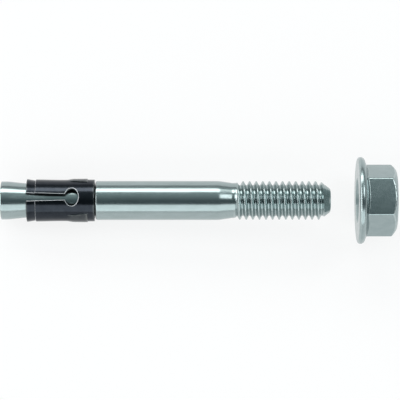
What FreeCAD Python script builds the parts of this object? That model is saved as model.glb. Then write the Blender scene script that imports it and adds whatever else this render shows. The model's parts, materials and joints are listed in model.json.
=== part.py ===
import FreeCAD, Part
import math
import os

# A throughbolt nail anchor of thread size M6: a one-piece cone bolt, the sheet clip that spreads
# over its cone in the drilled hole, and a hexagon flange nut, drawn off the thread on the same axis.
# Sizes are millimetres and degrees. Places count along the bolt's axis from its cone end.

V = FreeCAD.Vector
ALONG = V(1, 0, 0)
START = V(0, 0, 0)
TURN = 360.0

# expansion clip, a sheet strip rolled round the neck
clip_front = 3.95
clip_length = 10.28
clip_wall = 0.5
clip_bevel = 0.12
lip_radius = 3.27
lip_length = 1.27
groove_radius = 3.05
groove_step = 0.14
clip_shoulder_radius = 3.2
waist_from_front = 5.2
waist_radius = 3.14
tail_radius = 3.18
slot_width = 0.94
slot_mouth = 1.25
seam_width = 2.0
leaves = 2
window_from_front = 6.87
window_length = 2.19
window_width = 2.95

# pads pressed out of the clip, one on each leaf
pad_from_front = 5.95
pad_length = 3.32
pad_ramp = 1.2
pad_radius = 3.29
pad_angle = 80.0

# cone bolt
cone_land = 1.1
cone_half_angle = 6.0
cone_bevel = 0.12
cone_clearance = 0.09
neck_clearance = 0.45
clip_end_gap = 0.18
shank_radius = 2.97
shank_length = 18.6
shank_chamfer = 0.15
shank_taper_length = 2.1
blank_radius = 2.665
blank_length = 0.5

# thread, M6 coarse and right-handed, rolled on the blank
pitch = 1.0
thread_length = 14.4
crest_radius = 2.93
root_radius = 2.34
crest_flat = 0.13
root_flat = 0.2
first_crest = 1.1
runout_length = 1.2
point_radius = 1.75
point_angle = 38.0
spans_per_turn = 12
spare_turns = 2

# flange nut
nut_gap = 4.08
nut_height = 5.9
across_flats = 9.78
hex_turn = 3.0
hex_chamfer_angle = 37.0
hex_face_radius = 4.55
flange_radius = 6.6
flange_thickness = 1.55
flange_bevel = 0.4
flange_cone_angle = 20.0
nut_bore_clearance = 0.07
sink_radius = 3.55
sink_half_angle = 45.0

# places and radii that follow from the sizes above
cone_slope = math.tan(math.radians(cone_half_angle))
groove_place = clip_front + lip_length
clip_bore_radius = clip_shoulder_radius - clip_wall
cone_end_radius = (
    groove_radius - clip_wall - cone_clearance + (groove_place - cone_land) * cone_slope
)
neck_radius = clip_bore_radius - neck_clearance
neck_start = cone_land + (cone_end_radius - neck_radius) / cone_slope
shank_start = clip_front + clip_length + clip_end_gap
shank_end = shank_start + shank_length
blank_start = shank_end + shank_taper_length
blank_end = blank_start + blank_length
bolt_end = blank_end + thread_length
nut_face = bolt_end + nut_gap
nut_end = nut_face + nut_height
bore_radius = crest_radius + nut_bore_clearance


def slope(angle):
    return math.tan(math.radians(angle))


def spun(radius, angle, along):
    """A point at a radius and an angle, counted from +Y towards +Z."""
    swing = math.radians(angle)
    return V(along, radius * math.cos(swing), radius * math.sin(swing))


def turned(corners, angle=TURN):
    """A solid of revolution about the axis, from corners of (along, radius)."""
    points = [V(along, radius, 0) for along, radius in corners]
    return Part.Face(Part.makePolygon(points + points[:1])).revolve(START, ALONG, angle)


def helix(radius, along):
    """One turn of a helix of the thread's pitch, from the angle of +Y."""
    share = [i / spans_per_turn for i in range(spans_per_turn + 1)]
    curve = Part.BSplineCurve()
    curve.interpolate(
        Points=[spun(radius, TURN * part, along + pitch * part) for part in share],
        Parameters=share,
        Tangents=[
            spun(2 * math.pi * radius, TURN * part + TURN / 4, pitch) for part in share
        ],
        TangentFlags=[True] * len(share),
        Scale=False,
    )
    return curve.toShape()


def thread_rod(along, turns):
    """A solid screw whose first crest starts at the given place, with a helical face at each end."""
    flank = (pitch - crest_flat - root_flat) / 2
    profile = [
        (0.0, crest_radius),
        (crest_flat, crest_radius),
        (crest_flat + flank, root_radius),
        (crest_flat + flank + root_flat, root_radius),
        (pitch, crest_radius),
    ]
    faces = []
    for turn in range(turns):
        edges = [helix(radius, along + turn * pitch + rise) for rise, radius in profile]
        faces += [Part.makeRuledSurface(a, b) for a, b in zip(edges, edges[1:])]
    for place in (along, along + turns * pitch):
        centre = Part.makeLine(V(place, 0, 0), V(place + pitch, 0, 0))
        faces.append(Part.makeRuledSurface(centre, helix(crest_radius, place)))
        section = [V(place + rise, radius, 0) for rise, radius in profile]
        section = [V(place, 0, 0)] + section + [V(place + pitch, 0, 0)]
        faces.append(Part.Face(Part.makePolygon(section + section[:1])))
    shell = Part.makeShell(faces)
    shell.sewShape()
    rod = Part.Solid(shell)
    if rod.Volume < 0:
        rod.reverse()
    return rod


def cone_bolt():
    body = turned(
        [
            (0, 0),
            (0, cone_end_radius - cone_bevel),
            (cone_bevel, cone_end_radius),
            (cone_land, cone_end_radius),
            (neck_start, neck_radius),
            (shank_start, neck_radius),
            (shank_start, shank_radius - shank_chamfer),
            (shank_start + shank_chamfer, shank_radius),
            (shank_end, shank_radius),
            (blank_start, blank_radius),
            (blank_end, blank_radius),
            (blank_end + runout_length, root_radius - crest_flat),
            (blank_end + runout_length, 0),
        ]
    )
    return body.fuse(bolt_thread())


def bolt_thread():
    """The rolled thread: its crests rise out of the blank, and its end is cut to a blunt point."""
    rod_start = blank_end + first_crest - crest_flat / 2 - spare_turns * pitch
    turns = math.ceil((bolt_end - rod_start) / pitch) + spare_turns
    outside = crest_radius + crest_flat
    point_length = (outside - point_radius) / slope(point_angle)
    envelope = turned(
        [
            (blank_end - crest_flat, 0),
            (blank_end - crest_flat, blank_radius - crest_flat),
            (blank_end, blank_radius - crest_flat),
            (blank_end + pitch, outside),
            (bolt_end - point_length, outside),
            (bolt_end, point_radius),
            (bolt_end, 0),
        ]
    )
    return thread_rod(rod_start, turns).common(envelope)


def expansion_clip():
    back = clip_front + clip_length
    shoulder = groove_place + groove_step
    clip = turned(
        [
            (clip_front, lip_radius - clip_bevel),
            (clip_front + clip_bevel, lip_radius),
            (groove_place, groove_radius),
            (shoulder, clip_shoulder_radius),
            (clip_front + waist_from_front, waist_radius),
            (back, tail_radius),
            (back, clip_bore_radius),
            (shoulder, clip_bore_radius),
            (groove_place, groove_radius - clip_wall),
            (clip_front, lip_radius - clip_wall),
        ]
    )
    leaf = TURN / leaves
    for i in range(leaves):
        clip = clip.fuse(pad((i + 0.5) * leaf))
    for i in range(leaves - 1):
        clip = clip.cut(keyhole(i * leaf))
    return clip.cut(seam(-leaf))


def pad(angle):
    """A wedge that rises out of the clip's wall and ends in a step, centred on an angle from the top."""
    start = clip_front + pad_from_front
    end = start + pad_length
    sunk = waist_radius - clip_wall / 2
    wedge = turned(
        [
            (start, sunk),
            (start, waist_radius),
            (start + pad_ramp, pad_radius),
            (end, pad_radius),
            (end, sunk),
        ],
        pad_angle,
    )
    wedge.rotate(START, ALONG, TURN / 4 - angle - pad_angle / 2)
    return wedge


def radial_gap(length, mouth, width):
    """A cut through the clip's wall above the axis, narrowing from its mouth to its width."""
    sides = [V(0, mouth / 2, 0), V(0, -mouth / 2, 0), V(length, -width / 2, 0), V(length, width / 2, 0)]
    gap = Part.Face(Part.makePolygon(sides + sides[:1])).extrude(V(0, 0, lip_radius * 2))
    gap.translate(ALONG * clip_front)
    return gap


def keyhole(angle):
    """The open slot from the clip's front edge and the oval window it ends in, at an angle from the top."""
    longer = max(window_width, window_length)
    shorter = min(window_width, window_length)
    oval = Part.Face(Part.Wire(Part.Ellipse(START, longer / 2, shorter / 2).toShape()))
    if window_width > window_length:
        oval.rotate(START, V(0, 0, 1), TURN / 4)
    window = oval.extrude(V(0, 0, lip_radius * 2))
    window.translate(V(clip_front + window_from_front, 0, 0))
    tool = radial_gap(window_from_front, slot_mouth, slot_width).fuse(window)
    tool.rotate(START, ALONG, -angle)
    return tool


def seam(angle):
    """The gap where the rolled strip's two ends meet."""
    gap = radial_gap(clip_length, seam_width, seam_width)
    gap.rotate(START, ALONG, -angle)
    return gap


def flange_nut():
    flange_top = nut_face + flange_thickness
    hub_radius = across_flats / 2
    back = (flange_radius - hub_radius) * slope(flange_cone_angle)
    flange = turned(
        [
            (nut_face, 0),
            (nut_face, flange_radius - flange_bevel),
            (nut_face + flange_bevel, flange_radius),
            (flange_top - back - flange_bevel, flange_radius),
            (flange_top - back, flange_radius - flange_bevel),
            (flange_top, hub_radius),
            (flange_top, 0),
        ]
    )
    return hex_prism().fuse(flange).cut(nut_bore())


def hex_prism():
    """The six flats, crowned by a chamfer at the free end."""
    corner = across_flats / math.sqrt(3)
    points = [spun(corner, hex_turn + i * TURN / 6, nut_face) for i in range(6)]
    prism = Part.Face(Part.makePolygon(points + points[:1])).extrude(V(nut_height, 0, 0))
    crown = corner + flange_bevel
    crown_length = (crown - hex_face_radius) / slope(TURN / 4 - hex_chamfer_angle)
    envelope = turned(
        [
            (nut_face, 0),
            (nut_face, crown),
            (nut_end - crown_length, crown),
            (nut_end, hex_face_radius),
            (nut_end, 0),
        ]
    )
    return prism.common(envelope)


def nut_bore():
    """The threaded hole at its major size, countersunk at both faces."""
    sink = (sink_radius - bore_radius) / slope(sink_half_angle)
    return turned(
        [
            (nut_face, 0),
            (nut_face, sink_radius),
            (nut_face + sink, bore_radius),
            (nut_end - sink, bore_radius),
            (nut_end, sink_radius),
            (nut_end, 0),
        ]
    )


def laid_down(shape):
    """The axis leans so that the lip, on both sides of the seam, and the flange's rim touch the ground."""
    lip = clip_front + clip_bevel
    rim = nut_face + flange_bevel
    depth = math.sqrt(lip_radius**2 - (seam_width / 2) ** 2)
    lean = math.atan2(flange_radius - depth, rim - lip)
    height = depth * math.cos(lean) - lip * math.sin(lean)
    left = -cone_end_radius * math.sin(lean)
    right = nut_end * math.cos(lean) + hex_face_radius * math.sin(lean)
    placed = shape.copy()
    placed.rotate(START, V(0, 1, 0), -math.degrees(lean))
    placed.translate(V(-(left + right) / 2, 0, height))
    return placed


os.makedirs("parts", exist_ok=True)
for make in (cone_bolt, expansion_clip, flange_nut):
    piece = laid_down(make())
    piece.exportStep(f"parts/{make.__name__}.step")
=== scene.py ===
import bmesh
import bpy
import json
import math
from mathutils import Euler, Matrix, Vector


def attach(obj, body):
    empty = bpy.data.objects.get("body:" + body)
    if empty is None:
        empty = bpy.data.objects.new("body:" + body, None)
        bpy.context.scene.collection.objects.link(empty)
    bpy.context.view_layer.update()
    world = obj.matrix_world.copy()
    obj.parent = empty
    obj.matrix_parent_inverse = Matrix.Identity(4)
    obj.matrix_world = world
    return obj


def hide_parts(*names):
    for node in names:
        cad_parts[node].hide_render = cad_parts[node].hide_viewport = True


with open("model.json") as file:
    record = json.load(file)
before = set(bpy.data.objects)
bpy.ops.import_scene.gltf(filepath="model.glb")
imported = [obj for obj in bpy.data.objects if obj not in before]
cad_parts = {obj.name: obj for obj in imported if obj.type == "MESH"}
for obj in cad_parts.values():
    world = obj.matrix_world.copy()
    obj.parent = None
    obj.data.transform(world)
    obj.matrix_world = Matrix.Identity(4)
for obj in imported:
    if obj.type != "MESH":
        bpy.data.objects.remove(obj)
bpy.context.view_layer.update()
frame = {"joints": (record.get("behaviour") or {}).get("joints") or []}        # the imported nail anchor, lying on the clip's lip and the nut's rim
print("frame loaded")

# Every piece is made in millimetres along +X from the bolt's cone end, with the clip's slot towards
# +Z. The bench matrix lays it on the frame's own axis, in metres.
millimetres = 1000       # in a metre
spindle = next(joint for joint in frame["joints"] if joint["name"] == "bolt_turn")
along = Vector(spindle["axis"]).normalized()
across = Vector((0, 1, 0))
upward = along.cross(across)
coneEnd = Vector(spindle["pos_m"])
bench = (
    Matrix.Translation(coneEnd)
    @ Matrix((along, across, upward)).transposed().to_4x4()
    @ Matrix.Scale(1 / millimetres, 4)
)
lean = math.atan2(along.z, along.x)


# ramps and soft corners

def ramp(value, low, high):
    share = min(max((value - low) / (high - low), 0.0), 1.0)
    return share * share * (3 - 2 * share)


def softMin(a, b, width):
    near = max(width - abs(a - b), 0.0) / width
    return min(a, b) - near * near * width / 4


def softMax(a, b, width):
    return -softMin(-a, -b, width)


def radiusOf(dot):
    return math.hypot(dot.co.y, dot.co.z)


def setRadius(dot, radius):
    scale = radius / radiusOf(dot)
    dot.co.y *= scale
    dot.co.z *= scale


# bmesh steps that the pieces share

making = {
    "weld": 0.0004,                  # points closer than this become one
    "onPlane": 0.001,                # points closer than this to a plane lie on it
    "cutReach": 0.0001,              # a cut uses the points that it passes this close to
    "rimReach": 0.12,                # open rims this close to a place are joined there
    "cornerSegments": 4, "edgeSegments": 3,
    "wearFrom": 0.1, "wearTo": 0.5,  # radians that a rubbed edge turns outward
}


def weld(bm):
    bmesh.ops.remove_doubles(bm, verts=bm.verts[:], dist=making["weld"])


def roundCorner(bm, dot, rounding):
    bmesh.ops.bevel(
        bm, geom=[dot], offset=rounding, offset_type="OFFSET", segments=making["cornerSegments"],
        profile=0.5, affect="VERTICES", material=-1, clamp_overlap=True,
    )


def roundEdges(bm, edges, rounding):
    bmesh.ops.bevel(
        bm, geom=edges, offset=rounding, offset_type="OFFSET", segments=making["edgeSegments"],
        profile=0.5, affect="EDGES", material=-1, clamp_overlap=True,
    )


def drawWire(bm, corners):
    # an open outline of (place, radius, rounding), each corner rounded by its own size
    dots = [bm.verts.new((place, radius, 0)) for place, radius, rounding in corners]
    for pair in zip(dots, dots[1:]):
        bm.edges.new(pair)
    for dot, (place, radius, rounding) in zip(dots, corners):
        if rounding:
            roundCorner(bm, dot, rounding)


def addRows(bm, gap):
    # cuts the long runs of an outline, so that the spun surface has even rows
    for edge in [edge for edge in bm.edges if edge.is_wire and edge.calc_length() > gap]:
        bmesh.ops.subdivide_edges(bm, edges=[edge], cuts=int(edge.calc_length() / gap))


def looseGeometry(bm):
    edges = [edge for edge in bm.edges if edge.is_wire]
    return list(dict.fromkeys(dot for edge in edges for dot in edge.verts)) + edges


def spinRound(bm, steps):
    bmesh.ops.spin(
        bm, geom=looseGeometry(bm), cent=(0, 0, 0), axis=(1, 0, 0), dvec=(0, 0, 0),
        angle=math.tau, steps=steps, use_merge=True, use_duplicate=False,
    )
    weld(bm)


def spinThread(bm, pitch, turns, steps):
    # one turn of a right-hand helix that moves on by one pitch, then a copy for each further turn
    bmesh.ops.spin(
        bm, geom=looseGeometry(bm), cent=(0, 0, 0), axis=(1, 0, 0), dvec=(pitch / steps, 0, 0),
        angle=math.tau, steps=steps, use_merge=False, use_duplicate=False,
    )
    turn = bm.verts[:] + bm.edges[:] + bm.faces[:]
    for i in range(1, turns):
        copied = bmesh.ops.duplicate(bm, geom=turn)["geom"]
        dots = [item for item in copied if isinstance(item, bmesh.types.BMVert)]
        bmesh.ops.translate(bm, vec=(i * pitch, 0, 0), verts=dots)
    weld(bm)


def trim(bm, place, keepAfter):
    bmesh.ops.bisect_plane(
        bm, geom=bm.verts[:] + bm.edges[:] + bm.faces[:], dist=making["cutReach"],
        plane_co=(place, 0, 0), plane_no=(1, 0, 0), clear_inner=keepAfter, clear_outer=not keepAfter,
    )


def openRim(bm, place, reach):
    return [
        edge for edge in bm.edges
        if edge.is_boundary and all(abs(dot.co.x - place) < reach for dot in edge.verts)
    ]


def drawRing(bm, rim, place, radius):
    # carries an open rim on to a circle of its own place and radius
    made = bmesh.ops.extrude_edge_only(bm, edges=rim)["geom"]
    for dot in [item for item in made if isinstance(item, bmesh.types.BMVert)]:
        setRadius(dot, radius)
        dot.co.x = place
    return [item for item in made if isinstance(item, bmesh.types.BMEdge) and item.is_boundary]


def joinRims(bm, place):
    bmesh.ops.bridge_loops(bm, edges=openRim(bm, place, making["rimReach"]))


def markWear(bm):
    # how sharply the surface turns outward at each point, for the rubbed edges of the finishes
    wearAndSheen = bm.verts.layers.float.get("wearAndSheen") or bm.verts.layers.float.new("wearAndSheen")
    for dot in bm.verts:
        sharpest = max(edge.calc_face_angle_signed(0) for edge in dot.link_edges)
        dot[wearAndSheen] = max(dot[wearAndSheen], ramp(sharpest, making["wearFrom"], making["wearTo"]))


def finishPiece(bm, name, finishes, crease):
    weld(bm)
    bmesh.ops.recalc_face_normals(bm, faces=bm.faces[:])
    markWear(bm)
    bmesh.ops.transform(bm, matrix=bench, verts=bm.verts[:])
    mesh = bpy.data.meshes.new(name)
    bm.to_mesh(mesh)
    bm.free()
    for finish in finishes:
        mesh.materials.append(finish)
    mesh.shade_smooth()
    mesh.set_sharp_from_angle(angle=math.radians(crease))
    piece = bpy.data.objects.new(name, mesh)
    bpy.context.scene.collection.objects.link(piece)
    return piece


# finishes

pattern = {
    "noiseFrom": 0.3, "noiseTo": 0.7, "noiseRoughness": 0.6, "cloudDetail": 3.0, "streakDetail": 4.0,
    "patchScale": (4, 4, 4), "patchLeast": 0.45,
}
finishes = {
    "plating": {
        "deepColour": (0.325, 0.395, 0.395), "paleColour": (0.36, 0.43, 0.435),
        "wearAndSheenColour": (0.5, 0.56, 0.56), "metallic": 1.0, "roughness": 0.2, "roughnessSpread": 0.03,
        "cloudScale": (0.5, 1.2, 1.2), "streakScale": (0.35, 6, 6),
        "bumpStrength": 0.1, "bumpHeight": 0.000006,
    },
    "nutPlating": {
        "deepColour": (0.3, 0.37, 0.375), "paleColour": (0.34, 0.41, 0.415),
        "wearAndSheenColour": (0.5, 0.57, 0.57), "metallic": 1.0, "roughness": 0.24, "roughnessSpread": 0.03,
        "cloudScale": (0.7, 0.9, 0.9), "streakScale": (1.6, 2.2, 2.2),
        "bumpStrength": 0.06, "bumpHeight": 0.00001,
    },
    "darkSheet": {
        "deepColour": (0.029, 0.034, 0.042), "paleColour": (0.038, 0.044, 0.053),
        "wearAndSheenColour": (0.17, 0.185, 0.18), "metallic": 1.0, "roughness": 0.18, "roughnessSpread": 0.03,
        "cloudScale": (1.2, 0.8, 0.8), "streakScale": (2, 3.5, 3.5),
        "bumpStrength": 0.1, "bumpHeight": 0.000006,
    },
    # bare steel for the outer rims of the slot and window, and a painted highlight line on the groove's
    # step
    "bareEdgeAndHighlight": {
        "deepColour": (0.4, 0.41, 0.44), "paleColour": (0.52, 0.53, 0.56),
        "wearAndSheenColour": (0.6, 0.61, 0.63), "metallic": 1.0, "roughness": 0.34, "roughnessSpread": 0.06,
        "cloudScale": (2, 2, 2), "streakScale": (9, 9, 4),
        "bumpStrength": 0.3, "bumpHeight": 0.00001,
    },
}


def boltCoordinates(nodes, links):
    # object coordinates turned to the bolt's own axis and counted in millimetres
    spot = nodes.new("ShaderNodeTexCoord")
    turned = nodes.new("ShaderNodeMapping")
    turn = (0, lean, 0)
    turned.inputs["Rotation"].default_value = turn
    turned.inputs["Scale"].default_value = (millimetres, millimetres, millimetres)
    turned.inputs["Location"].default_value = -(Euler(turn).to_matrix() @ (coneEnd * millimetres))
    links.new(spot.outputs["Object"], turned.inputs["Vector"])
    return turned.outputs["Vector"]


def grain(nodes, links, place, stretch, detail):
    stretched = nodes.new("ShaderNodeMapping")
    stretched.inputs["Scale"].default_value = stretch
    noise = nodes.new("ShaderNodeTexNoise")
    noise.inputs["Scale"].default_value = 1.0
    noise.inputs["Detail"].default_value = detail
    noise.inputs["Roughness"].default_value = pattern["noiseRoughness"]
    links.new(place, stretched.inputs["Vector"])
    links.new(stretched.outputs["Vector"], noise.inputs["Vector"])
    return noise.outputs["Fac"]


def between(nodes, links, share, low, high):
    spread = nodes.new("ShaderNodeMapRange")
    spread.inputs["From Min"].default_value = pattern["noiseFrom"]
    spread.inputs["From Max"].default_value = pattern["noiseTo"]
    spread.inputs["To Min"].default_value = low
    spread.inputs["To Max"].default_value = high
    links.new(share, spread.inputs["Value"])
    return spread.outputs["Result"]


def metalFinish(name, look):
    material = bpy.data.materials.new(name)
    material.use_nodes = True
    nodes = material.node_tree.nodes
    links = material.node_tree.links
    shader = nodes["Principled BSDF"]
    shader.inputs["Metallic"].default_value = look["metallic"]
    place = boltCoordinates(nodes, links)
    clouds = grain(nodes, links, place, look["cloudScale"], pattern["cloudDetail"])
    streaks = grain(nodes, links, place, look["streakScale"], pattern["streakDetail"])
    patches = grain(nodes, links, place, pattern["patchScale"], pattern["cloudDetail"])

    tint = nodes.new("ShaderNodeMix")
    tint.data_type = "RGBA"
    tint.inputs["A"].default_value = (*look["deepColour"], 1)
    tint.inputs["B"].default_value = (*look["paleColour"], 1)
    links.new(between(nodes, links, clouds, 0, 1), tint.inputs["Factor"])

    # rubbed edges and the pads' painted sheen: the marks on the mesh, broken up by patches
    wearAndSheenRead = nodes.new("ShaderNodeAttribute")
    wearAndSheenRead.attribute_name = "wearAndSheen"
    patchy = nodes.new("ShaderNodeMath")
    patchy.operation = "MULTIPLY"
    links.new(wearAndSheenRead.outputs["Fac"], patchy.inputs[0])
    links.new(between(nodes, links, patches, pattern["patchLeast"], 1), patchy.inputs[1])
    wearAndSheenMix = nodes.new("ShaderNodeMix")
    wearAndSheenMix.data_type = "RGBA"
    wearAndSheenMix.inputs["B"].default_value = (*look["wearAndSheenColour"], 1)
    links.new(patchy.outputs["Value"], wearAndSheenMix.inputs["Factor"])
    links.new(tint.outputs["Result"], wearAndSheenMix.inputs["A"])
    links.new(wearAndSheenMix.outputs["Result"], shader.inputs["Base Color"])

    smoothest = look["roughness"] - look["roughnessSpread"]
    roughest = look["roughness"] + look["roughnessSpread"]
    links.new(between(nodes, links, streaks, smoothest, roughest), shader.inputs["Roughness"])
    bump = nodes.new("ShaderNodeBump")
    bump.inputs["Strength"].default_value = look["bumpStrength"]
    bump.inputs["Distance"].default_value = look["bumpHeight"]
    links.new(streaks, bump.inputs["Height"])
    links.new(bump.outputs["Normal"], shader.inputs["Normal"])
    return material


metals = {name: metalFinish(name, look) for name, look in finishes.items()}
print("finishes ready")


# cone bolt: cone, neck and shank turned in one piece with the rolled thread

bolt = {
    "coneRadius": 2.893, "coneLand": 1.1, "coneEdge": 0.16, "coneShoulder": 0.3,
    "neckStart": 7.218, "neckRadius": 2.25, "neckBlend": 0.5, "neckCorner": 0.1,
    "shankStart": 14.41, "shankRadius": 2.97, "shankEdge": 0.17, "shankEnd": 33.01,
    "taperEdge": 0.25, "taperEnd": 35.11, "blankRadius": 2.665, "blankBlend": 0.12,
    "threadJoin": 35.42, "joinGap": 0.02, "crestRunout": (0.2, 0.85), "rootRunout": 0.6,
    "pitch": 1.0, "spareTurns": 2,
    "firstCrest": 36.71, "crestRadius": 2.95, "crestFlat": 0.16, "crestRounding": 0.075,
    "rootRadius": 2.34, "rootFlat": 0.2, "rootRounding": 0.07,
    "end": 50.01, "endEdge": 0.2, "pointRadius": 1.75, "pointAngle": 38, "pointSoftness": 0.12,
    # rings that round the end face off: the share of endEdge before the end, and the radius
    "endRings": ((0.45, 1.78), (0.12, 1.69), (0, 1.55), (0, 0.95), (0, 0.1)),
    "coreRadius": 0.5, "steps": 96, "rowGap": 0.35, "crease": 32,
}


def threadOutline(bm, start, inner, outer):
    # one pitch of thread, given the flat, radius and rounding of its two levels
    half = bolt["pitch"] / 2
    drawWire(bm, [
        (start - half, outer["radius"], 0),
        (start - half + outer["flat"] / 2, outer["radius"], outer["rounding"]),
        (start - inner["flat"] / 2, inner["radius"], inner["rounding"]),
        (start + inner["flat"] / 2, inner["radius"], inner["rounding"]),
        (start + half - outer["flat"] / 2, outer["radius"], outer["rounding"]),
        (start + half, outer["radius"], 0),
    ])


def boltThreadRadius(place, radius):
    # the crests and roots grow out of the blank, and the point's cone cuts them off
    blank = bolt["blankRadius"]
    beyond = place - bolt["threadJoin"]
    grown = ramp(beyond, *bolt["crestRunout"]) if radius > blank else ramp(beyond, 0, bolt["rootRunout"])
    point = bolt["pointRadius"] + (bolt["end"] - place) * math.tan(math.radians(bolt["pointAngle"]))
    return softMin(blank + (radius - blank) * grown, max(point, bolt["coreRadius"]), bolt["pointSoftness"])


def makeBolt():
    bm = bmesh.new()
    crest = {"radius": bolt["crestRadius"], "flat": bolt["crestFlat"], "rounding": bolt["crestRounding"]}
    root = {"radius": bolt["rootRadius"], "flat": bolt["rootFlat"], "rounding": bolt["rootRounding"]}
    start = bolt["firstCrest"] - bolt["spareTurns"] * bolt["pitch"]
    threadOutline(bm, start, crest, root)
    turns = math.ceil((bolt["end"] - start) / bolt["pitch"]) + 1
    spinThread(bm, bolt["pitch"], turns, bolt["steps"])
    for dot in bm.verts:
        setRadius(dot, boltThreadRadius(dot.co.x, radiusOf(dot)))
    edge = bolt["end"] - bolt["endEdge"]
    trim(bm, bolt["threadJoin"], True)
    trim(bm, edge, False)

    rim = openRim(bm, edge, making["onPlane"])
    for share, radius in bolt["endRings"]:
        rim = drawRing(bm, rim, bolt["end"] - bolt["endEdge"] * share, radius)
    bmesh.ops.edgeloop_fill(bm, edges=rim)

    drawWire(bm, [
        (0, 0, 0),
        (0, bolt["coneRadius"], bolt["coneEdge"]),
        (bolt["coneLand"], bolt["coneRadius"], bolt["coneShoulder"]),
        (bolt["neckStart"], bolt["neckRadius"], bolt["neckBlend"]),
        (bolt["shankStart"], bolt["neckRadius"], bolt["neckCorner"]),
        (bolt["shankStart"], bolt["shankRadius"], bolt["shankEdge"]),
        (bolt["shankEnd"], bolt["shankRadius"], bolt["taperEdge"]),
        (bolt["taperEnd"], bolt["blankRadius"], bolt["blankBlend"]),
        (bolt["threadJoin"] - bolt["joinGap"], bolt["blankRadius"], 0),
    ])
    addRows(bm, bolt["rowGap"])
    spinRound(bm, bolt["steps"])
    joinRims(bm, bolt["threadJoin"])
    piece = finishPiece(bm, "coneBoltDressed", [metals["plating"]], bolt["crease"])
    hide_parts("cone_bolt")
    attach(piece, "bolt")


makeBolt()
print("bolt ready")


# expansion clip: a stamped strip with a keyhole slot, rolled into a sleeve

clip = {
    "front": 3.95, "length": 10.28, "wall": 0.5, "edge": 0.085, "cornerRounding": 0.14,
    "lipRadius": 3.27, "lipLength": 1.27, "grooveRadius": 3.05, "grooveStep": 0.14,
    "shoulderRadius": 3.2, "waistPlace": 5.2, "waistRadius": 3.14, "tailRadius": 3.18,
    "slotMouth": 1.25, "slotWidth": 0.94, "seam": 2.0,
    "windowPlace": 6.87, "windowLength": 2.03, "windowWidth": 2.9, "windowSteps": 44,
    # the pad keys end with the share of painted sheen that lightens the pads' outer faces
    "padStart": 5.95, "padRamp": 1.2, "padEnd": 9.27, "padStep": 0.14, "padHeight": 0.14,
    "padMiddle": 90, "padHalfStart": 35.0, "padHalfEnd": 42.5, "padSide": 1.5, "padSheen": 0.32,
    "bareFrom": 0.1, "bareTo": 10.08, "stepLine": (0.25, 0.8),
    "edgeOn": 0.05, "flatOn": 0.99,     # how far a face of the flat strip looks up
    # where the strip is cut across so that it can bend: from, to and the gap between cuts
    "rows": (
        (0.25, 1.2, 0.24), (1.24, 1.45, 0.025), (1.6, 5.8, 0.3), (5.95, 7.15, 0.12),
        (7.4, 9.0, 0.2), (9.13, 9.27, 0.035), (9.5, 10.1, 0.2),
    ),
    "columns": 120, "padColumns": (0, 0.25, 0.5, 0.75, 1), "crease": 40,
}


def padShare(place, degrees):
    rise = ramp(place, clip["padStart"], clip["padStart"] + clip["padRamp"])
    fall = 1 - ramp(place, clip["padEnd"] - clip["padStep"], clip["padEnd"])
    widening = (place - clip["padStart"]) / (clip["padEnd"] - clip["padStart"])
    half = clip["padHalfStart"] + (clip["padHalfEnd"] - clip["padHalfStart"]) * widening
    offMiddle = abs(abs(degrees) - clip["padMiddle"])
    return rise * fall * (1 - ramp(offMiddle, half - clip["padSide"], half))


def lipAndStep(place):
    # the flared lip's radius, down to the groove, and how far the step after it has risen
    lip = clip["lipRadius"] + (clip["grooveRadius"] - clip["lipRadius"]) * place / clip["lipLength"]
    step = ramp(place, clip["lipLength"], clip["lipLength"] + clip["grooveStep"])
    return max(lip, clip["grooveRadius"]), step


def clipOutside(place, degrees):
    # the lip and its step, then the waist and the two pads
    lip, step = lipAndStep(place)
    waist = clip["shoulderRadius"] + (clip["waistRadius"] - clip["shoulderRadius"]) * ramp(
        place, clip["lipLength"], clip["waistPlace"])
    tail = (clip["tailRadius"] - clip["waistRadius"]) * ramp(place, clip["waistPlace"], clip["length"])
    radius = lip * (1 - step) + (waist + tail) * step
    return radius + clip["padHeight"] * padShare(place, degrees)


def clipInside(place):
    lip, step = lipAndStep(place)
    return (lip - clip["wall"]) * (1 - step) + (clip["shoulderRadius"] - clip["wall"]) * step


def stripHalfWidth():
    return math.pi * clip["shoulderRadius"] - clip["seam"] / 2


def stampBlank(bm):
    # the flat strip's outline: the window's arc first, then the slot and the four outer corners
    opening = math.asin(clip["slotWidth"] / clip["windowWidth"])
    first = bm.verts.new((-math.cos(opening), math.sin(opening), 0))
    made = bmesh.ops.spin(
        bm, geom=[first], cent=(0, 0, 0), axis=(0, 0, -1), dvec=(0, 0, 0),
        angle=math.tau - 2 * opening, steps=clip["windowSteps"], use_merge=False, use_duplicate=False,
    )
    last = [item for item in made["geom_last"] if isinstance(item, bmesh.types.BMVert)][0]
    bmesh.ops.scale(bm, vec=(clip["windowLength"] / 2, clip["windowWidth"] / 2, 1), verts=bm.verts[:])
    bmesh.ops.translate(bm, vec=(clip["windowPlace"], 0, 0), verts=bm.verts[:])
    half = stripHalfWidth()
    corners = [
        bm.verts.new((0, -clip["slotMouth"] / 2, 0)), bm.verts.new((0, -half, 0)),
        bm.verts.new((clip["length"], -half, 0)), bm.verts.new((clip["length"], half, 0)),
        bm.verts.new((0, half, 0)), bm.verts.new((0, clip["slotMouth"] / 2, 0)),
    ]
    for pair in zip([last, *corners], [*corners, first]):
        bm.edges.new(pair)
    for corner in corners:
        roundCorner(bm, corner, clip["cornerRounding"])
    bmesh.ops.edgeloop_fill(bm, edges=bm.edges[:])


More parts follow.
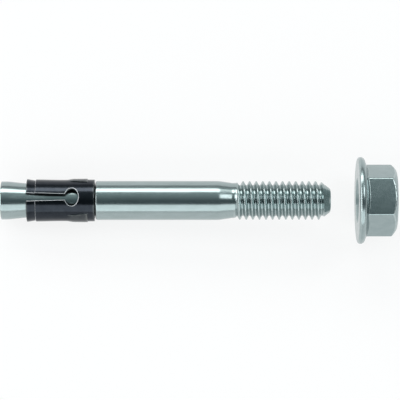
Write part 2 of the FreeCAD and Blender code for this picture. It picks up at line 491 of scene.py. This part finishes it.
def cutStrip(bm, point, normal, start=0, end=math.inf):
    # one straight cut through the faces that it crosses, so that the flat strip can bend there
    point, normal = Vector(point), Vector(normal)
    crossed = {}
    for face in bm.faces:
        sides = [(dot.co - point).dot(normal) for dot in face.verts]
        if min(sides) < 0 < max(sides) and start < face.calc_center_bounds().x < end:
            crossed.update(dict.fromkeys([face, *face.edges, *face.verts]))
    bmesh.ops.bisect_plane(bm, geom=list(crossed), dist=making["cutReach"], plane_co=point, plane_no=normal)


def cutAlong(bm):
    for start, end, gap in clip["rows"]:
        for i in range(int((end - start) / gap) + 1):
            cutStrip(bm, (start + i * gap, 0, 0), (1, 0, 0))


def cutAround(bm):
    # even cuts round the sleeve, then the sides and corners of the two pads
    degree = math.radians(1) * clip["shoulderRadius"]
    half = stripHalfWidth()
    for i in range(1, clip["columns"]):
        cutStrip(bm, (0, half * (2 * i / clip["columns"] - 1), 0), (0, 1, 0))
    length = clip["padEnd"] - clip["padStart"]
    spread = (clip["padHalfEnd"] - clip["padHalfStart"]) * degree / length
    for middle in (-clip["padMiddle"], clip["padMiddle"]):
        for side in (-1, 1):
            for inset in clip["padColumns"]:
                turn = middle + side * (clip["padHalfStart"] - inset * clip["padSide"])
                cutStrip(
                    bm, (clip["padStart"], turn * degree, 0), (-side * spread, 1, 0),
                    clip["padStart"], clip["padEnd"],
                )


def bareRimsAndShadedWalls(bm):
    # the slot and its window were cut after coating, and their outer rims are bare steel; their cut walls
    # keep the dark coat all the same, as painted shade inside the slot and the window
    for face in bm.faces:
        middle = face.calc_center_median()
        inSlot = abs(middle.y) < clip["windowWidth"] and clip["bareFrom"] < middle.x < clip["bareTo"]
        face.material_index = 1 if inSlot and clip["edgeOn"] < face.normal.z < clip["flatOn"] else 0


def paintStepHighlight(bm):
    # painted highlight: the middle of the groove's step gets the bright bare finish, as a light line round
    # the clip
    start, end = (clip["lipLength"] + share * clip["grooveStep"] for share in clip["stepLine"])
    for face in bm.faces:
        if face.normal.z > clip["flatOn"] and start < face.calc_center_median().x < end:
            face.material_index = 1


def rollStrip(bm):
    # the flat strip's width becomes an angle, and its thickness the wall between the two radii
    wearAndSheen = bm.verts.layers.float.new("wearAndSheen")
    for dot in bm.verts:
        place, turn, depth = dot.co.x, dot.co.y / clip["shoulderRadius"], dot.co.z / clip["wall"]
        degrees = math.degrees(turn)
        inside = clipInside(place)
        radius = inside + (clipOutside(place, degrees) - inside) * depth
        dot.co = (clip["front"] + place, radius * math.sin(turn), radius * math.cos(turn))
        # painted sheen: the outer faces of the pads are lightened with the finish's pale wear colour
        dot[wearAndSheen] = clip["padSheen"] * padShare(place, degrees) * depth


def makeClip():
    bm = bmesh.new()
    stampBlank(bm)
    bmesh.ops.solidify(bm, geom=bm.faces[:], thickness=clip["wall"])
    bmesh.ops.translate(bm, vec=(0, 0, -min(dot.co.z for dot in bm.verts)), verts=bm.verts[:])
    rims = [edge for edge in bm.edges if abs(edge.verts[0].co.z - edge.verts[1].co.z) < making["onPlane"]]
    roundEdges(bm, rims, clip["edge"])
    bareRimsAndShadedWalls(bm)
    cutAlong(bm)
    cutAround(bm)
    paintStepHighlight(bm)
    rollStrip(bm)
    piece = finishPiece(
        bm, "expansionClipDressed", [metals["darkSheet"], metals["bareEdgeAndHighlight"]], clip["crease"])
    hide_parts("expansion_clip")
    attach(piece, "clip")


makeClip()
print("clip ready")


# flange nut: a hexagon that grows out of its flange, with its inner thread

nut = {
    "face": 54.09, "height": 5.9, "sides": 6, "acrossFlats": 9.78, "hexTurn": 3.0, "cornerRounding": 0.2,
    "faceSwell": 0.011, "crownAngle": 37, "crownRadius": 4.55, "crownSoftness": 0.09, "crownEdge": 0.07,
    "flangeRadius": 6.6, "flangeThickness": 1.55, "rimRounding": 0.4, "flangeSlope": 20, "fillet": 0.4,
    "footRadius": 4.45,
    "majorRadius": 3.03, "grooveFlat": 0.08, "grooveRounding": 0.03,
    "minorRadius": 2.46, "ridgeFlat": 0.276, "ridgeRounding": 0.05,
    "sinkRadius": 3.55, "sinkAngle": 45, "sinkSoftness": 0.06, "mouthLip": 0.06, "mouthInset": 0.03,
    "columns": 240, "crowding": 0.75, "rowGap": 0.12, "crease": 32,
}


def flatRadius(off):
    # a flat swells a little towards its middle, as forged ones do
    flat = nut["acrossFlats"] / 2
    return (flat - nut["faceSwell"] * (flat * math.tan(off)) ** 2) / math.cos(off)


def hexRadius(angle):
    # distance from the axis to the six flats, with soft corners
    side = math.tau / nut["sides"]
    off = abs((angle - math.radians(nut["hexTurn"])) % side - side / 2)
    return softMin(flatRadius(off), flatRadius(side - off), nut["cornerRounding"])


def nutOutside(place, radius, angle):
    # the crowned hexagon, and the fillet where it grows out of the flange
    toEnd = nut["face"] + nut["height"] - place
    crown = nut["crownRadius"] + toEnd / math.tan(math.radians(nut["crownAngle"]))
    hexagon = softMin(hexRadius(angle), crown, nut["crownSoftness"])
    onFlange = radius > nut["footRadius"] + making["onPlane"]
    return softMax(radius, hexagon, nut["fillet"]) if onFlange else hexagon


def makeNutThread(bm, face, end):
    # in step with the bolt's thread, and opened by the countersinks
    start = bolt["firstCrest"] + math.floor(face - bolt["firstCrest"]) - 1
    groove = {"radius": nut["majorRadius"], "flat": nut["grooveFlat"], "rounding": nut["grooveRounding"]}
    ridge = {"radius": nut["minorRadius"], "flat": nut["ridgeFlat"], "rounding": nut["ridgeRounding"]}
    threadOutline(bm, start, groove, ridge)
    spinThread(bm, bolt["pitch"], math.ceil(end - start) + 1, bolt["steps"])
    slope = math.tan(math.radians(nut["sinkAngle"]))
    for dot in bm.verts:
        sunk = nut["sinkRadius"] - min(dot.co.x - face, end - dot.co.x) * slope
        setRadius(dot, softMax(radiusOf(dot), sunk, nut["sinkSoftness"]))
    trim(bm, face + nut["mouthInset"], True)
    trim(bm, end - nut["mouthInset"], False)


def shapeHexagon(bm, face):
    # moves the outside's columns together at the corners, then out or in to the nut's own outline
    for dot in [dot for dot in bm.verts if radiusOf(dot) > nut["sinkRadius"]]:   # all but the thread
        even = math.atan2(dot.co.z, dot.co.y)
        crowded = even - nut["crowding"] / nut["sides"] * math.sin(nut["sides"] * even)
        angle = math.radians(nut["hexTurn"]) + crowded
        radius = radiusOf(dot)
        if radius > nut["footRadius"] - making["onPlane"] and dot.co.x > face + making["onPlane"]:
            radius = nutOutside(dot.co.x, radius, angle)
        dot.co.y = radius * math.cos(angle)
        dot.co.z = radius * math.sin(angle)


def makeNut():
    face, end = nut["face"], nut["face"] + nut["height"]
    slope = math.tan(math.radians(nut["flangeSlope"]))
    hub = nut["acrossFlats"] / 2
    foot = nut["footRadius"]
    mouth = nut["sinkRadius"] + nut["mouthLip"]
    flangeTop = face + nut["flangeThickness"]
    bm = bmesh.new()
    makeNutThread(bm, face, end)
    drawWire(bm, [
        (face, mouth, 0),
        (face, nut["flangeRadius"], nut["rimRounding"]),
        (flangeTop - (nut["flangeRadius"] - hub) * slope, nut["flangeRadius"], nut["rimRounding"]),
        (flangeTop + (hub - foot) * slope, foot, 0),
        (end, foot, 0),
        (end, mouth, 0),
    ])
    addRows(bm, nut["rowGap"])
    spinRound(bm, nut["columns"])
    shapeHexagon(bm, face)
    crownRim = [
        edge for edge in bm.edges
        if all(abs(dot.co.x - end) < making["onPlane"] and radiusOf(dot) > foot for dot in edge.verts)
    ]
    roundEdges(bm, crownRim, nut["crownEdge"])
    joinRims(bm, face)
    joinRims(bm, end)
    piece = finishPiece(bm, "flangeNutDressed", [metals["nutPlating"]], nut["crease"])
    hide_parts("flange_nut")
    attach(piece, "nut")


makeNut()
print("nut ready")


# studio: camera square to the bolt, as in the photograph, soft lamps beside and beyond it, and a pale floor

studio = {
    "aimPlace": 0.0302, "aimUp": 0.00007, "distance": 0.3344, "roll": 10.5,
    "lens": 198, "sensor": 36, "nearest": 0.01, "lampDistance": 3.0,
    "ceilingNear": (0.09, 0.122, 0.13), "ceilingFar": (0.37, 0.45, 0.455),
    "wallNear": (0.86, 0.87, 0.87), "wallFar": (0.36, 0.38, 0.385),
    "nearToFar": (-0.2, 0.5), "wallToCeiling": (0.14, 0.42),
    "floorColour": (0.88, 0.885, 0.89), "floorRoughness": 0.8, "floorSheen": 0.2,
    "floorSize": 8.0, "floorSquares": 8, "floorGlow": 0.8,
}
lamps = {
    # angle is counted from the camera towards the picture's top, swing towards the nut
    "key": {
        "angle": 65, "swing": -20, "height": 23, "length": 62, "radiance": 2.5, "colour": (1.0, 0.99, 0.97),
    },
    "fill": {
        "angle": -45, "swing": 0, "height": 40, "length": 98, "radiance": 1.15, "colour": (0.97, 1.0, 1.0),
    },
    "nutEnd": {
        "angle": 27, "swing": 30, "height": 26, "length": 28, "radiance": 2.1, "colour": (1.0, 1.0, 1.0),
    },
    "coneEnd": {
        "angle": 5, "swing": -50, "height": 76, "length": 24, "radiance": 1.9, "colour": (1.0, 1.0, 1.0),
    },
}
roll = math.radians(studio["roll"])
toCamera = upward * math.cos(roll) - across * math.sin(roll)
imageUp = across * math.cos(roll) + upward * math.sin(roll)
aim = coneEnd + along * studio["aimPlace"] + imageUp * studio["aimUp"]


def stand(item, name, place, back):
    # an object whose own X runs along the bolt and whose Z points back from what it faces
    holder = bpy.data.objects.new(name, item)
    turned = Matrix((along, back.cross(along), back)).transposed().to_4x4()
    holder.matrix_world = Matrix.Translation(place) @ turned
    bpy.context.scene.collection.objects.link(holder)
    return holder


def hangLamp(name, look):
    angle, swing = math.radians(look["angle"]), math.radians(look["swing"])
    back = toCamera * math.cos(angle) + imageUp * math.sin(angle)
    back = back * math.cos(swing) + along * math.sin(swing)
    reach = 2 * studio["lampDistance"]
    lamp = bpy.data.lights.new(name, "AREA")
    lamp.shape = "RECTANGLE"
    lamp.size = reach * math.tan(math.radians(look["length"] / 2))
    lamp.size_y = reach * math.tan(math.radians(look["height"] / 2))
    lamp.energy = 4 * look["radiance"] * lamp.size * lamp.size_y
    lamp.color = look["colour"]
    stand(lamp, name, aim + back * studio["lampDistance"], back).visible_camera = False


def floorPaper():
    # seen by the camera or in the metal, the paper is mixed with white
    paper = bpy.data.materials.new("palePaper")
    paper.use_nodes = True
    nodes = paper.node_tree.nodes
    links = paper.node_tree.links
    shader = nodes["Principled BSDF"]
    shader.inputs["Base Color"].default_value = (*studio["floorColour"], 1)
    shader.inputs["Roughness"].default_value = studio["floorRoughness"]
    shader.inputs["Specular IOR Level"].default_value = studio["floorSheen"]
    rays = nodes.new("ShaderNodeLightPath")
    seen = rays.outputs["Is Camera Ray"]
    for kind in ("Is Glossy Ray", "Is Transmission Ray"):
        either = nodes.new("ShaderNodeMath")
        either.operation = "MAXIMUM"
        links.new(seen, either.inputs[0])
        links.new(rays.outputs[kind], either.inputs[1])
        seen = either.outputs["Value"]
    share = nodes.new("ShaderNodeMath")
    share.operation = "MULTIPLY"
    share.inputs[1].default_value = studio["floorGlow"]
    white = nodes.new("ShaderNodeEmission")
    mixed = nodes.new("ShaderNodeMixShader")
    links.new(seen, share.inputs[0])
    links.new(share.outputs["Value"], mixed.inputs["Fac"])
    links.new(shader.outputs["BSDF"], mixed.inputs[1])
    links.new(white.outputs["Emission"], mixed.inputs[2])
    links.new(mixed.outputs["Shader"], nodes["Material Output"].inputs["Surface"])
    return paper


def makeFloor():
    bm = bmesh.new()
    squares = studio["floorSquares"]
    bmesh.ops.create_grid(bm, x_segments=squares, y_segments=squares, size=studio["floorSize"])
    mesh = bpy.data.meshes.new("floor")
    bm.to_mesh(mesh)
    bm.free()
    mesh.materials.append(floorPaper())
    floor = bpy.data.objects.new("floor", mesh)
    bpy.context.scene.collection.objects.link(floor)


def lightRoom():
    # pale walls near the horizon and a darker ceiling, each from the near side (-Y) to the far side
    world = bpy.data.worlds.new("room")
    world.use_nodes = True
    nodes = world.node_tree.nodes
    links = world.node_tree.links
    heading = nodes.new("ShaderNodeTexCoord")
    parts = nodes.new("ShaderNodeSeparateXYZ")
    links.new(heading.outputs["Generated"], parts.inputs["Vector"])

    def shareOf(output, low, high):
        spread = nodes.new("ShaderNodeMapRange")
        spread.inputs["From Min"].default_value = low
        spread.inputs["From Max"].default_value = high
        links.new(parts.outputs[output], spread.inputs["Value"])
        return spread.outputs["Result"]

    def blend(share, first, second):
        shade = nodes.new("ShaderNodeMix")
        shade.data_type = "RGBA"
        links.new(share, shade.inputs["Factor"])
        for socket, colour in (("A", first), ("B", second)):
            if isinstance(colour, tuple):
                shade.inputs[socket].default_value = (*colour, 1)
            else:
                links.new(colour, shade.inputs[socket])
        return shade.outputs["Result"]

    farther = shareOf("Y", *studio["nearToFar"])
    higher = shareOf("Z", *studio["wallToCeiling"])
    walls = blend(farther, studio["wallNear"], studio["wallFar"])
    ceiling = blend(farther, studio["ceilingNear"], studio["ceilingFar"])
    links.new(blend(higher, walls, ceiling), nodes["Background"].inputs["Color"])
    bpy.context.scene.world = world


eye = bpy.data.cameras.new("camera")
eye.lens = studio["lens"]
eye.sensor_width = studio["sensor"]
eye.clip_start = studio["nearest"]
bpy.context.scene.camera = stand(eye, "camera", aim + toCamera * studio["distance"], toCamera)
for name, look in lamps.items():
    hangLamp(name, look)
makeFloor()
lightRoom()
bpy.context.scene.view_settings.view_transform = "Standard"
print("studio ready")
